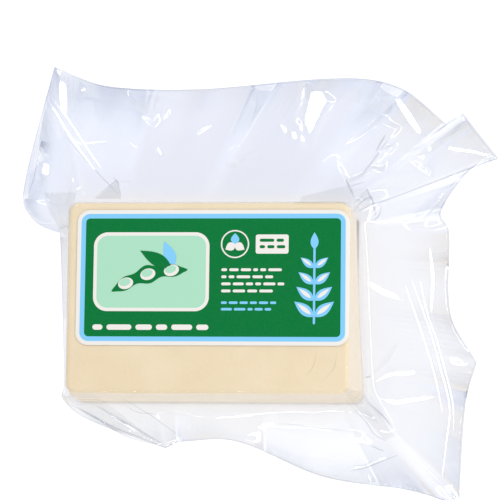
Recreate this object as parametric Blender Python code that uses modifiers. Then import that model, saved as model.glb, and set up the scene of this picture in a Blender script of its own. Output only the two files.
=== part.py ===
"""Vacuum packed tofu block: a clear film pouch drawn tight round a firm block, with a printed panel.

The pack lies on its back on a flat surface. The origin is the centre of the block's base, +X runs
along the block's long side, +Y towards the head of the print and +Z up through the printed panel.
"""

import math

import bmesh
import bpy

MM = 0.001  # every dimension below is in millimetres

# The block, with the film tight on it.
BLOCK_LENGTH = 100.0
BLOCK_WIDTH = 68.0
BLOCK_HEIGHT = 35.0
EDGE_RADIUS = 1.6  # the edges round the top face and the base
CORNER_RADIUS = 3.5  # the upright corners, seen from above
SLUMP = 1.0  # how far the soft sides stand out below half height
CORNER_SLUMP = 3.0  # how much further the +X -Y corner stands out
SLUMP_POWER = 1.5

# The margins of the pouch, where its two sheets lie together.
SEAM_HEIGHT = 17.5  # where the sheets leave the block's sides
SHEETS = 0.8  # both sheets and the air left between them
PARTING = 3.5  # how far above and below the seam height the sheets let go of the block
BRIDGE = 7.0  # distance from the block at which the sheets have met
FOLD_START = 5.0  # distance from the block at which a fold has its full height
TENT_BRIDGE = 12.0  # how much further the sheets stay apart along a tent
TENT_SPREAD = 1.7  # half width of a tent, in spokes

# Spokes run from the block's side to the pouch's rim. They are numbered anticlockwise from the
# -X -Y corner and stand closer together near the corners, where the film fans out.
LONG_SPOKES = 24
SHORT_SPOKES = 16
CROWDING = 0.65
HALF_TURN = LONG_SPOKES + SHORT_SPOKES
SPOKES = 2 * HALF_TURN
MARGIN_RINGS = 9
MARGIN_POWER = 1.25  # above 1, the rings stand closer together near the block
EDGE_STEPS = 4
SIDE_STEPS = 3

# The rim, where it turns: spoke, x, y, height, and whether it turns sharply there.
RIM = (
    (0, -53.8, -34.2, 14.0, False),
    (3, -45.5, -41.2, 11.0, False),
    (9, -17.2, -51.3, 8.0, True),
    (10, -12.5, -49.0, 9.0, True),
    (13, 8.5, -48.9, 12.0, False),
    (17, 39.5, -61.2, 9.0, False),
    (21, 70.0, -65.8, 12.0, False),
    (24, 87.8, -70.8, 7.0, True),
    (28, 90.2, -35.0, 12.0, False),
    (30, 94.1, -20.0, 9.0, True),
    (32, 85.0, -3.5, 13.0, False),
    (36, 84.2, 27.5, 10.0, False),
    (37, 81.3, 33.8, 13.0, False),
    (39, 93.2, 50.3, 12.0, False),
    (40, 102.0, 53.6, 9.0, True),
    (42, 89.2, 69.4, 14.0, True),
    (43, 83.1, 66.3, 10.0, True),
    (47, 66.5, 79.3, 12.0, False),
    (50, 46.5, 83.4, 9.0, False),
    (55, -6.3, 79.3, 13.0, False),
    (59, -39.4, 80.2, 10.0, False),
    (62, -59.3, 86.8, 15.0, True),
    (65, -70.6, 41.0, 9.0, False),
    (66, -67.0, 31.5, 8.0, False),
    (68, -56.3, 25.8, 12.0, True),
    (77, -53.5, -28.0, 14.0, False),
)

# Tents, where the upper sheet spans from high on an upright corner: spoke, extra parting.
TENTS = (
    (0, 3.5),
    (24, 6.5),
    (40, 6.5),
    (64, 4.0),
)

# The main folds of the margins: from x, y to x, y, height (below 0 for a valley), half width.
FOLDS = (
    (-63.0, 76.0, -42.0, 48.0, 3.0, 3.5),
    (-42.0, 48.0, -36.0, 38.0, 2.0, 2.5),
    (-54.0, 84.0, -52.0, 52.0, -2.0, 4.0),
    (-50.0, 36.0, -66.0, 40.0, 2.5, 3.0),
    (-14.0, 78.0, -10.0, 44.0, -2.0, 7.0),
    (32.0, 81.0, 26.0, 46.0, 2.5, 6.0),
    (52.0, 36.0, 64.0, 74.0, 2.5, 3.5),
    (55.0, 36.0, 74.0, 62.0, -2.0, 3.5),
    (76.0, 62.0, 99.0, 55.0, 3.0, 3.0),
    (54.0, 26.0, 82.0, 32.0, 2.0, 4.0),
    (55.0, 12.0, 82.0, 6.0, -1.5, 5.0),
    (72.0, 14.0, 84.0, -60.0, 2.5, 3.0),
    (56.0, -16.0, 88.0, -22.0, -1.5, 5.0),
    (53.0, -35.0, 68.0, -56.0, 3.5, 4.0),
    (48.0, -37.0, 50.0, -60.0, -1.5, 4.0),
    (12.0, -36.0, 24.0, -54.0, 1.5, 4.0),
    (-46.0, -37.0, -20.0, -49.0, 2.0, 2.5),
)

# The printed panel, on the top face and just over its +X edge.
PANEL_LEFT = -46.5
PANEL_RIGHT = 49.6
PANEL_BOTTOM = -17.0
PANEL_TOP = 31.0
PANEL_CORNER = 4.5
PANEL_GAP = 0.3
PANEL_THICKNESS = 0.3
PANEL_COLUMNS = 40
PANEL_ROWS = 10


def remove_everything():
    for old in list(bpy.data.objects):
        bpy.data.objects.remove(old, do_unlink=True)


def smooth_step(low, high, value):
    share = min(1.0, max(0.0, (value - low) / (high - low)))
    return share * share * (3.0 - 2.0 * share)


def crowd(share):
    """Moves evenly spaced shares of a side towards its two ends."""
    return share - CROWDING * math.sin(2.0 * math.pi * share) / (2.0 * math.pi)


def square_point(spoke):
    """Where a spoke starts on a square from -1 to 1 in x and y."""
    turned = spoke >= HALF_TURN
    step = spoke - HALF_TURN if turned else spoke
    if step < LONG_SPOKES:
        x, y = 2.0 * crowd(step / LONG_SPOKES) - 1.0, -1.0
    else:
        x, y = 1.0, 2.0 * crowd((step - LONG_SPOKES) / SHORT_SPOKES) - 1.0
    return (-x, -y) if turned else (x, y)


def round_corners(x, y, half_x, half_y, radius):
    """Moves a point on a rectangle's outline onto its rounded corners."""
    inner_x = min(half_x - radius, max(radius - half_x, x))
    inner_y = min(half_y - radius, max(radius - half_y, y))
    reach = math.hypot(x - inner_x, y - inner_y)
    if reach == 0.0:
        return x, y
    return inner_x + (x - inner_x) * radius / reach, inner_y + (y - inner_y) * radius / reach


def side_point(spoke, inset, height):
    """A point on the block's side, or on its rounded edge where inset is above 0."""
    half_x = BLOCK_LENGTH / 2 - inset
    half_y = BLOCK_WIDTH / 2 - inset
    u, v = square_point(spoke)
    x, y = round_corners(u * half_x, v * half_y, half_x, half_y, CORNER_RADIUS - inset)
    slump = 1.0 - smooth_step(SEAM_HEIGHT, BLOCK_HEIGHT, height)
    lean = CORNER_SLUMP * max(0.0, (1.0 - v) / 2.0) ** SLUMP_POWER * max(0.0, u)
    return x + slump * (SLUMP * u + lean), y + slump * SLUMP * v, height


def rim_slope(index, after):
    """How x, y and height change for each spoke at a point of the rim."""
    count = len(RIM)
    here = RIM[index]
    last = RIM[index - 1]
    following = RIM[(index + 1) % count]
    if here[4]:
        last, following = (here, following) if after else (last, here)
    spokes = (following[0] - last[0]) % SPOKES
    return [(following[axis] - last[axis]) / spokes for axis in (1, 2, 3)]


def rim_point(spoke):
    """The rim's x, y and height at a spoke, on smooth curves between the points of RIM."""
    index = max(i for i, point in enumerate(RIM) if point[0] <= spoke)
    start = RIM[index]
    end = RIM[(index + 1) % len(RIM)]
    span = (end[0] - start[0]) % SPOKES
    t = (spoke - start[0]) / span
    leaving = rim_slope(index, True)
    arriving = rim_slope((index + 1) % len(RIM), False)
    blend = t * t * (3.0 - 2.0 * t)
    ease_out = t * (1.0 - t) ** 2 * span
    ease_in = t * t * (t - 1.0) * span
    return [
        start[axis + 1] * (1.0 - blend) + end[axis + 1] * blend
        + leaving[axis] * ease_out + arriving[axis] * ease_in
        for axis in range(3)
    ]


def fold_height(x, y):
    """The height that the folds add at a point of the margins."""
    total = 0.0
    for x0, y0, x1, y1, height, half_width in FOLDS:
        along_x, along_y = x1 - x0, y1 - y0
        share = ((x - x0) * along_x + (y - y0) * along_y) / (along_x**2 + along_y**2)
        share = min(1.0, max(0.0, share))
        away = math.hypot(x - x0 - share * along_x, y - y0 - share * along_y)
        total += height * math.exp(-((away / half_width) ** 2))
    return total


def tent(spoke):
    """The extra parting at a spoke, and its share of a whole tent."""
    extra = 0.0
    share = 0.0
    for corner, height in TENTS:
        away = min(abs(spoke - corner), SPOKES - abs(spoke - corner))
        weight = math.exp(-((away / TENT_SPREAD) ** 2))
        extra += height * weight
        share += weight
    return extra, share


def margin_point(spoke, ring, upper):
    """A point of the upper or lower sheet, from ring 0 at the block to the last at the rim."""
    foot_x, foot_y, _ = side_point(spoke, 0.0, SEAM_HEIGHT)
    rim_x, rim_y, rim_z = rim_point(spoke)
    width = math.hypot(rim_x - foot_x, rim_y - foot_y)
    share = (ring / MARGIN_RINGS) ** MARGIN_POWER
    x = foot_x + share * (rim_x - foot_x)
    y = foot_y + share * (rim_y - foot_y)
    middle = SEAM_HEIGHT + (rim_z - SEAM_HEIGHT) * smooth_step(0.0, 1.0, share)
    middle += fold_height(x, y) * smooth_step(0.0, FOLD_START, share * width)
    extra, tented = tent(spoke)
    bridge = min(BRIDGE + TENT_BRIDGE * tented, 0.8 * width)
    open_share = max(0.0, 1.0 - share * width / bridge) ** 2
    half = SHEETS / 2 + (PARTING + (extra if upper else 0.0)) * open_share
    return x, y, middle + half if upper else middle - half


def edge_ring(step, upper):
    """A ring of the rounded edge, from step 0 on the flat face to the last on the side."""
    angle = math.pi / 2 * step / EDGE_STEPS
    inset = EDGE_RADIUS * (1.0 - math.sin(angle))
    drop = EDGE_RADIUS * (1.0 - math.cos(angle))
    height = BLOCK_HEIGHT - drop if upper else drop
    return [side_point(spoke, inset, height) for spoke in range(SPOKES)]


def side_ring(step, upper):
    """A ring of the plain side, between the rounded edge and the place where the sheet leaves."""
    ring = []
    for spoke in range(SPOKES):
        start = BLOCK_HEIGHT - EDGE_RADIUS if upper else EDGE_RADIUS
        end = margin_point(spoke, 0, upper)[2]
        ring.append(side_point(spoke, 0.0, start + (end - start) * step / SIDE_STEPS))
    return ring


def half_rings(upper):
    """All rings of the upper or lower half of the pouch, from its flat face to its rim."""
    rings = [edge_ring(step, upper) for step in range(EDGE_STEPS + 1)]
    rings += [side_ring(step, upper) for step in range(1, SIDE_STEPS)]
    for ring in range(MARGIN_RINGS + 1):
        rings.append([margin_point(spoke, ring, upper) for spoke in range(SPOKES)])
    return rings


def loft(rings):
    """A closed body through the rings, with a flat face across the first and across the last."""
    mesh = bmesh.new()
    rows = [[mesh.verts.new([value * MM for value in point]) for point in ring] for ring in rings]
    mesh.faces.new(rows[0])
    mesh.faces.new(reversed(rows[-1]))
    for above, below in zip(rows, rows[1:]):
        for spoke in range(SPOKES):
            after = (spoke + 1) % SPOKES
            mesh.faces.new((above[spoke], below[spoke], below[after], above[after]))
    return mesh


def top_height(x, y):
    """The height of the block's top over a point, on its flat face or its rounded edge."""
    beyond_x = abs(x) - (BLOCK_LENGTH / 2 - CORNER_RADIUS)
    beyond_y = abs(y) - (BLOCK_WIDTH / 2 - CORNER_RADIUS)
    outside = math.hypot(max(0.0, beyond_x), max(0.0, beyond_y))
    inside = CORNER_RADIUS - outside - min(0.0, max(beyond_x, beyond_y))
    short = EDGE_RADIUS - min(inside, EDGE_RADIUS)
    return BLOCK_HEIGHT - EDGE_RADIUS + math.sqrt(EDGE_RADIUS**2 - short**2)


def bend_panel(mesh):
    """Lays a flat grid from -1 to 1 on the block's top as the panel, with its corners rounded."""
    half_x = (PANEL_RIGHT - PANEL_LEFT) / 2
    half_y = (PANEL_TOP - PANEL_BOTTOM) / 2
    for vert in mesh.verts:
        u = 2.0 * crowd((vert.co.x + 1.0) / 2.0) - 1.0
        v = 2.0 * crowd((vert.co.y + 1.0) / 2.0) - 1.0
        size = max(abs(u), abs(v), 1e-9)
        x, y = round_corners(u / size * half_x, v / size * half_y, half_x, half_y, PANEL_CORNER)
        x = PANEL_LEFT + half_x + x * size
        y = PANEL_BOTTOM + half_y + y * size
        vert.co = (x * MM, y * MM, (top_height(x, y) + PANEL_GAP) * MM)


def material(name, colour, roughness, alpha=1.0):
    made = bpy.data.materials.new(name)
    made.use_nodes = True
    shader = made.node_tree.nodes["Principled BSDF"]
    shader.inputs["Base Color"].default_value = (*colour, 1.0)
    shader.inputs["Roughness"].default_value = roughness
    shader.inputs["Metallic"].default_value = 0.0
    shader.inputs["Alpha"].default_value = alpha
    return made


def add_object(name, mesh, collection, finish):
    data = bpy.data.meshes.new(name)
    mesh.to_mesh(data)
    mesh.free()
    data.shade_smooth()
    data.set_sharp_from_angle(angle=math.radians(40.0))
    data.materials.append(finish)
    made = bpy.data.objects.new(name, data)
    collection.objects.link(made)
    return made


def add_pouch(collection):
    rings = half_rings(True) + half_rings(False)[::-1]
    finish = material("film_over_tofu", (0.84, 0.72, 0.54), 0.15)
    return add_object("pouch", loft(rings), collection, finish)


def add_label(collection):
    mesh = bmesh.new()
    bmesh.ops.create_grid(mesh, x_segments=PANEL_COLUMNS, y_segments=PANEL_ROWS, size=1.0)
    bend_panel(mesh)
    label = add_object("label", mesh, collection, material("green_print", (0.01, 0.18, 0.05), 0.3))
    skin = label.modifiers.new("thickness", "SOLIDIFY")
    skin.thickness = PANEL_THICKNESS * MM
    skin.offset = 1.0
    return label


def main():
    remove_everything()
    collection = bpy.data.collections.new("vacuum_packed_tofu")
    bpy.context.scene.collection.children.link(collection)
    add_pouch(collection)
    add_label(collection)


main()
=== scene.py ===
"""Looks of the vacuum packed tofu block: film, tofu and print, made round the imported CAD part.

Lengths are in millimetres in the row frame, and become metres when a mesh is made. The film's main
shape repeats the CAD solid's: spokes from the block's side to the pouch's rim, in the same numbering.
"""

import math

import bmesh
import bpy
import numpy as np
from mathutils import Matrix, Vector
from mathutils.bvhtree import BVHTree


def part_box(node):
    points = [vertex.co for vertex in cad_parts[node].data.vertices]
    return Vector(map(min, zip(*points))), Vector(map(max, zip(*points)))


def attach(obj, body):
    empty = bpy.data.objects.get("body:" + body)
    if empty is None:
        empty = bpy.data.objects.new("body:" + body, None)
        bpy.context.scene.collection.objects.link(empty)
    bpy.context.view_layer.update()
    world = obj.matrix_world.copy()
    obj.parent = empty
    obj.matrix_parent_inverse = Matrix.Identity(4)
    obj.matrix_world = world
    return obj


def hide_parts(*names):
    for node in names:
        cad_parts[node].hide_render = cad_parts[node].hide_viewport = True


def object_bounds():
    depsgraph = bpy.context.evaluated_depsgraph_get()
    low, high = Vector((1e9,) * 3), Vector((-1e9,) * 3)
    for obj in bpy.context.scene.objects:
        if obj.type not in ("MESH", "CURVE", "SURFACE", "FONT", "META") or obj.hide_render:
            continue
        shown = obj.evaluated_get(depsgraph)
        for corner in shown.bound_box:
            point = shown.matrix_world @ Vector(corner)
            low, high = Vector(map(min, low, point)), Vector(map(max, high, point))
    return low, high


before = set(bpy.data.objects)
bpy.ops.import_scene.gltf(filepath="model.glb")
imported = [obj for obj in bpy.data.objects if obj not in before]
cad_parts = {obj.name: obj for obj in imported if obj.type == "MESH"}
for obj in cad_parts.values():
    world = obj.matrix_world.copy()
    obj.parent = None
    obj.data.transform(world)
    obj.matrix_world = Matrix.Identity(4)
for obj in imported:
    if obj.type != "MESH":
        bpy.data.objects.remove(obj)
CAD_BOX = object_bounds()

MM = 0.001

# The block, with the film tight on it.
BLOCK_LENGTH = 100.0
BLOCK_WIDTH = 68.0
BLOCK_HEIGHT = round(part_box("pouch")[1].z / MM, 3)
EDGE_RADIUS = 1.6
CORNER_RADIUS = 3.5
SLUMP = 1.0
CORNER_SLUMP = 3.0
SLUMP_POWER = 1.5

# The margins, where the pouch's two sheets lie together.
SEAM_HEIGHT = 17.5
PARTING = 3.5
BRIDGE = 5.5
FOLD_START = 5.0
TENT_BRIDGE = 12.0
TENT_SPREAD = 1.7
BRIDGE_SHARE = 0.8  # how much of a narrow margin the sheets stay apart over
SHEETS = 0.24
FOLD_SHARE = 0.2  # how much of the CAD's folds the film keeps away from the rim
FOLD_SHARE_RIM = 0.4
FOLD_REACH = 12.0
EVEN_SPOKES = 3.0  # over how many spokes the rim's heights are evened out away from it
LEAST_GAP = 0.15
TOUCHING = 0.1  # below this parting the sheets lie together
FADE_FROM = 0.5  # creases start this far from the block
FADE_TO = 4.0  # and have their full height from here on
RIM_FADE = 1.5  # how far from the rim they fade again

# Spokes, numbered as in the CAD, with COARSE or FINE of them here for each one there.
LONG_SPOKES = 24
SHORT_SPOKES = 16
CROWDING = 0.65
HALF_TURN = LONG_SPOKES + SHORT_SPOKES
SPOKES = 2 * HALF_TURN
COARSE = 4  # the back sheet, and the simulation of the creases
FINE = 2 * COARSE  # the front sheet
COARSE_RINGS = 36
FINE_RINGS = 2 * COARSE_RINGS
MARGIN_POWER = 1.1
EDGE_STEPS = 6
SIDE_STEPS = 8

# The pouch's outline: spoke, x, y, height, and whether it turns sharply there.
RIM = (
    (0, -53.8, -34.2, 14.0, False),
    (3, -45.5, -41.2, 11.0, False),
    (9, -17.2, -51.3, 8.0, True),
    (10, -12.5, -49.0, 9.0, True),
    (13, 8.5, -48.9, 12.0, False),
    (17, 39.5, -61.2, 9.0, False),
    (21, 70.0, -65.8, 12.0, False),
    (24, 87.8, -70.8, 7.0, True),
    (28, 90.2, -35.0, 12.0, False),
    (30, 94.1, -20.0, 9.0, True),
    (32, 85.0, -3.5, 13.0, False),
    (36, 84.2, 27.5, 10.0, False),
    (37, 81.3, 33.8, 13.0, False),
    (39, 93.2, 50.3, 12.0, False),
    (40, 102.0, 53.6, 9.0, True),
    (42, 89.2, 69.4, 14.0, True),
    (43, 83.1, 66.3, 10.0, True),
    (47, 66.5, 79.3, 12.0, False),
    (50, 46.5, 83.4, 9.0, False),
    (55, -6.3, 79.3, 13.0, False),
    (59, -39.4, 80.2, 10.0, False),
    (62, -59.3, 86.8, 15.0, True),
    (65, -70.6, 41.0, 9.0, False),
    (66, -67.0, 31.5, 8.0, False),
    (68, -56.3, 25.8, 12.0, True),
    (77, -53.5, -28.0, 14.0, False),
)

# Where the upper sheet spans from high on an upright corner: spoke, extra parting.
TENTS = (
    (0, 3.5),
    (24, 6.5),
    (40, 6.5),
    (64, 4.0),
)

# The main folds of the margins: from x, y to x, y, height (below 0 for a valley), half width.
FOLDS = (
    (-63.0, 76.0, -42.0, 48.0, 3.0, 3.5),
    (-42.0, 48.0, -36.0, 38.0, 2.0, 2.5),
    (-54.0, 84.0, -52.0, 52.0, -2.0, 4.0),
    (-50.0, 36.0, -66.0, 40.0, 2.5, 3.0),
    (-14.0, 78.0, -10.0, 44.0, -2.0, 7.0),
    (32.0, 81.0, 26.0, 46.0, 2.5, 6.0),
    (52.0, 36.0, 64.0, 74.0, 2.5, 3.5),
    (55.0, 36.0, 74.0, 62.0, -2.0, 3.5),
    (76.0, 62.0, 99.0, 55.0, 3.0, 3.0),
    (54.0, 26.0, 82.0, 32.0, 2.0, 4.0),
    (55.0, 12.0, 82.0, 6.0, -1.5, 5.0),
    (72.0, 14.0, 84.0, -60.0, 2.5, 3.0),
    (56.0, -16.0, 88.0, -22.0, -1.5, 5.0),
    (53.0, -35.0, 68.0, -56.0, 3.5, 4.0),
    (48.0, -37.0, 50.0, -60.0, -1.5, 4.0),
    (12.0, -36.0, 24.0, -54.0, 1.5, 4.0),
    (-46.0, -37.0, -20.0, -49.0, 2.0, 2.5),
)

# The camera: where it looks, which way it leans from straight above, and its lens.
TARGET = (14.8, 16.7, 35.0)
LEAN_X = 5.0
LEAN_Y = 8.0
DISTANCE = 900.0
LENS = 184.5

# Strip lights: azimuth from +X towards +Y, elevation, width, height, radiance.
STRIPS = {
    "left": (125.0, 36.0, 600.0, 50.0, 14.0),
    "back": (55.0, 38.0, 900.0, 50.0, 14.0),
    "right": (5.0, 38.0, 900.0, 50.0, 14.0),
    "front": (288.0, 38.0, 1000.0, 50.0, 14.0),
}
STRIP_DISTANCE = 1100.0


def place_object(name, data):
    """A new object of the scene with this data."""
    placed = bpy.data.objects.new(name, data)
    bpy.context.scene.collection.objects.link(placed)
    return placed


def smooth_step(low, high, value):
    """0 up to low, 1 from high on, with a smooth rise between."""
    share = np.clip((value - low) / (high - low), 0.0, 1.0)
    return share * share * (3.0 - 2.0 * share)


def direction(azimuth, elevation):
    """The unit vector towards an azimuth, from +X towards +Y, and an elevation, in degrees."""
    a, e = math.radians(azimuth), math.radians(elevation)
    return np.array([math.cos(a) * math.cos(e), math.sin(a) * math.cos(e), math.sin(e)])


def camera_direction():
    """The unit vector from the pack towards the camera."""
    towards = np.array([math.tan(math.radians(LEAN_X)), -math.tan(math.radians(LEAN_Y)), 1.0])
    return towards / np.linalg.norm(towards)


def half_way(light, shift, place):
    """The direction midway between the camera and a strip light, this far from its middle."""
    azimuth, elevation = STRIPS[light][:2]
    to_light = direction(azimuth, elevation) * STRIP_DISTANCE + shift * direction(azimuth + 90.0, 0.0) - place
    to_camera = np.array(TARGET) + camera_direction() * DISTANCE - place
    to_light = to_light / np.linalg.norm(to_light, axis=-1, keepdims=True)
    return to_light + to_camera / np.linalg.norm(to_camera, axis=-1, keepdims=True)


# ---------------------------------------------------------------- the pouch's main shape


def crowd(share):
    """Moves evenly spaced shares of a side towards its two ends."""
    return share - CROWDING * np.sin(2.0 * np.pi * share) / (2.0 * np.pi)


def square_points(spoke):
    """Where spokes start on a square from -1 to 1 in x and y."""
    turned = spoke >= HALF_TURN
    step = np.where(turned, spoke - HALF_TURN, spoke)
    along = step < LONG_SPOKES
    x = np.where(along, 2.0 * crowd(step / LONG_SPOKES) - 1.0, 1.0)
    y = np.where(along, -1.0, 2.0 * crowd((step - LONG_SPOKES) / SHORT_SPOKES) - 1.0)
    sign = np.where(turned, -1.0, 1.0)
    return x * sign, y * sign


def round_corners(x, y, half_x, half_y, radius):
    """Moves points on a rectangle's outline onto its rounded corners."""
    inner_x = np.clip(x, radius - half_x, half_x - radius)
    inner_y = np.clip(y, radius - half_y, half_y - radius)
    reach = np.maximum(np.hypot(x - inner_x, y - inner_y), 1e-9)
    return inner_x + (x - inner_x) * radius / reach, inner_y + (y - inner_y) * radius / reach


def side_points(spoke, inset, height, shrink=0.0):
    """Points of the block's side, or of its rounded edge where inset is above 0."""
    half_x = BLOCK_LENGTH / 2 - inset - shrink
    half_y = BLOCK_WIDTH / 2 - inset - shrink
    u, v = square_points(spoke)
    x, y = round_corners(u * half_x, v * half_y, half_x, half_y, CORNER_RADIUS - inset)
    slump = 1.0 - smooth_step(SEAM_HEIGHT, BLOCK_HEIGHT, height)
    lean = CORNER_SLUMP * ((1.0 - v) / 2.0) ** SLUMP_POWER * np.maximum(0.0, u)
    height = np.broadcast_to(height, x.shape)
    return np.stack([x + slump * (SLUMP * u + lean), y + slump * SLUMP * v, height], -1)


def rim_slope(index, after):
    """How x, y and height change for each spoke at a point of the rim."""
    here = RIM[index]
    last = RIM[index - 1]
    following = RIM[(index + 1) % len(RIM)]
    if here[4]:
        last, following = (here, following) if after else (last, here)
    spokes = (following[0] - last[0]) % SPOKES
    return (np.array(following[1:4]) - np.array(last[1:4])) / spokes


def rim_points(spoke):
    """The rim at each spoke, on smooth curves between the points of RIM."""
    made = np.empty((len(spoke), 3))
    for index, start in enumerate(RIM):
        end = RIM[(index + 1) % len(RIM)]
        span = (end[0] - start[0]) % SPOKES
        inside = (spoke >= start[0]) & (spoke < start[0] + span)
        t = ((spoke[inside] - start[0]) / span)[:, None]
        blend = t * t * (3.0 - 2.0 * t)
        made[inside] = (
            np.array(start[1:4]) * (1.0 - blend) + np.array(end[1:4]) * blend
            + rim_slope(index, True) * t * (1.0 - t) ** 2 * span
            + rim_slope((index + 1) % len(RIM), False) * t * t * (t - 1.0) * span
        )
    made[:, 0] = np.maximum(made[:, 0], CAD_BOX[0].x / MM)
    return made


def distance_to_line(x, y, x0, y0, x1, y1):
    """The distance of points from a straight stretch, and how far along it they lie, 0 to 1."""
    along_x, along_y = x1 - x0, y1 - y0
    share = ((x - x0) * along_x + (y - y0) * along_y) / (along_x**2 + along_y**2)
    share = np.clip(share, 0.0, 1.0)
    return np.hypot(x - x0 - share * along_x, y - y0 - share * along_y), share


def fold_height(x, y):
    """The height that the main folds add at points of the margins."""
    total = np.zeros_like(x)
    for x0, y0, x1, y1, height, half_width in FOLDS:
        away, _ = distance_to_line(x, y, x0, y0, x1, y1)
        total += height * np.exp(-((away / half_width) ** 2))
    return total


def tents(spoke):
    """The extra parting of the upper sheet at each spoke, and its share of a whole tent."""
    extra = np.zeros_like(spoke)
    share = np.zeros_like(spoke)
    for corner, height in TENTS:
        away = np.minimum(abs(spoke - corner), SPOKES - abs(spoke - corner))
        weight = np.exp(-((away / TENT_SPREAD) ** 2))
        extra += height * weight
        share += weight
    return extra, share


def even_out(values, reach):
    """Values round a closed ring, each averaged with its neighbours within about this many steps."""
    steps = np.arange(len(values))
    away = np.minimum(steps, len(values) - steps)
    weight = np.exp(-((away / reach) ** 2))
    return np.real(np.fft.ifft(np.fft.fft(values) * np.fft.fft(weight / weight.sum())))


def margin_middle(spoke, rings):
    """The surface midway between the two sheets, as rings from the block to the rim."""
    foot = side_points(spoke, 0.0, SEAM_HEIGHT)
    rim = rim_points(spoke)
    share = (np.arange(rings + 1) / rings)[:, None] ** MARGIN_POWER
    x = foot[:, 0] + share * (rim[:, 0] - foot[:, 0])
    y = foot[:, 1] + share * (rim[:, 1] - foot[:, 1])
    width = np.hypot(rim[:, 0] - foot[:, 0], rim[:, 1] - foot[:, 1])
    inner = smooth_step(0.0, FOLD_REACH, (1.0 - share) * width)
    high = rim[:, 2] + (even_out(rim[:, 2], EVEN_SPOKES * len(spoke) / SPOKES) - rim[:, 2]) * inner
    z = SEAM_HEIGHT + (high - SEAM_HEIGHT) * smooth_step(0.0, 1.0, share)
    kept = FOLD_SHARE_RIM + (FOLD_SHARE - FOLD_SHARE_RIM) * inner
    z = z + kept * fold_height(x, y) * smooth_step(0.0, FOLD_START, share * width)
    return np.stack([x, y, z], -1), share * width, width


def partings(spoke, out, width):
    """How far the upper and the lower sheet stand from the middle, beside the block."""
    extra, tented = tents(spoke)
    bridge = np.minimum(BRIDGE + TENT_BRIDGE * tented, BRIDGE_SHARE * width)
    open_share = np.maximum(0.0, 1.0 - out / bridge) ** 2
    return (PARTING + extra) * open_share, PARTING * open_share


# ---------------------------------------------------------------- the film's buckling

SEED = 7
SIM_STEPS = 260
SIM_ROUNDS = 3
STRETCH = 0.9
BEND = 0.22
CREASE_TURN = 0.12  # how much turning at one point sets a lasting crease
MOMENTUM = 0.92
HOLD = 0.004
RIM_HOLD = 0.4
RIM_REACH = 6.0  # how far from the rim the film keeps to its outline
RUMPLE = 0.06  # height of the unevenness that the creases grow from
RUMPLE_LENGTH = 9.0
SPARE_ROUND = 0.0004  # spare film round the block everywhere
SPARE_OUT = 0.0003  # spare film outwards everywhere
SPARE_FADE = 3.0  # how far from the block the film is held round it
FULL_BUNCH = 0.03  # spare film that counts as fully bunched
BUNCH_FALL = 1.5  # how fast bunching falls off round its middle
BACK_SLACK = 0.35  # height of the back sheet's own unevenness
BACK_SLACK_LENGTH = 22.0

# Where the film is bunched, or taut if below 0: x, y, reach, spare film round and outwards.
BUNCHES = (
    (54.0, 40.0, 13.0, 0.03, 0.012),
    (56.0, -42.0, 14.0, 0.02, 0.01),
    (40.0, -46.0, 16.0, 0.02, 0.02),
    (-58.0, 36.0, 8.0, 0.02, 0.01),
    (-42.0, -42.0, 16.0, 0.03, 0.01),
    (0.0, 65.0, 34.0, -0.004, -0.003),
    (-52.0, 64.0, 15.0, -0.003, -0.003),
    (72.0, 0.0, 20.0, -0.002, -0.002),
)


def wave_noise(x, y, rng, wavelength, count=24):
    """Smooth unevenness of about unit height: waves of one length in many directions."""
    total = np.zeros_like(x)
    for _ in range(count):
        turn, phase = rng.uniform(0.0, 2.0 * np.pi, 2)
        length = wavelength * rng.uniform(0.7, 1.5)
        total += np.sin(2.0 * np.pi * (x * np.cos(turn) + y * np.sin(turn)) / length + phase)
    return total / np.sqrt(count / 2.0)


def facet_noise(x, y, rng, wavelength, count=5):
    """Unevenness of flat facets that meet in sharp creases: zigzags in a few directions."""
    total = np.zeros_like(x)
    for _ in range(count):
        turn, phase = rng.uniform(0.0, np.pi), rng.uniform(0.0, 1.0)
        length = wavelength * rng.uniform(0.7, 1.5)
        along = (x * np.cos(turn) + y * np.sin(turn)) / length + phase
        total += 2.0 * np.abs(2.0 * (along - np.floor(along + 0.5))) - 1.0
    return total / np.sqrt(count / 3.0)


def bunching(x, y):
    """How bunched the film is at points of the margins, 0 to 1."""
    total = np.zeros_like(x)
    for bunch_x, bunch_y, reach, spare_round, _ in BUNCHES:
        away = ((x - bunch_x) ** 2 + (y - bunch_y) ** 2) / reach**2
        total += spare_round / FULL_BUNCH * np.exp(-BUNCH_FALL * away)
    return np.minimum(total, 1.0)


def pull_together(points, first, second, rest, shares):
    """Moves pairs of neighbours towards their rest distance, by each one's share, in place."""
    a = points[first]
    b = points[second]
    gap = b - a
    length = np.sqrt((gap * gap).sum(-1)) + 1e-12
    share_a, share_b = shares
    move = gap * (STRETCH * (length - rest) / length / (share_a + share_b))[..., None]
    points[first] = a + move * share_a[..., None]
    points[second] = b - move * share_b[..., None]


def neighbour_links(rows, count):
    """Sets of links that share no point: where the two ends are in the grid, and the kind of link."""
    links = []
    for start in (0, 1):
        a = (slice(start, rows - 1, 2), slice(None))
        b = (slice(start + 1, rows, 2), slice(None))
        links.append((a, b, "out"))
    index = np.arange(count)
    for start in (0, 1):
        here = index[start::2]
        links.append(((slice(1, None), here), (slice(1, None), (here + 1) % count), "round"))
    for start in (0, 1):
        for step in (1, -1):
            a = (slice(start, rows - 1, 2), index)
            b = (slice(start + 1, rows, 2), (index + step) % count)
            links.append((a, b, "across"))
    return links


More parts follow.
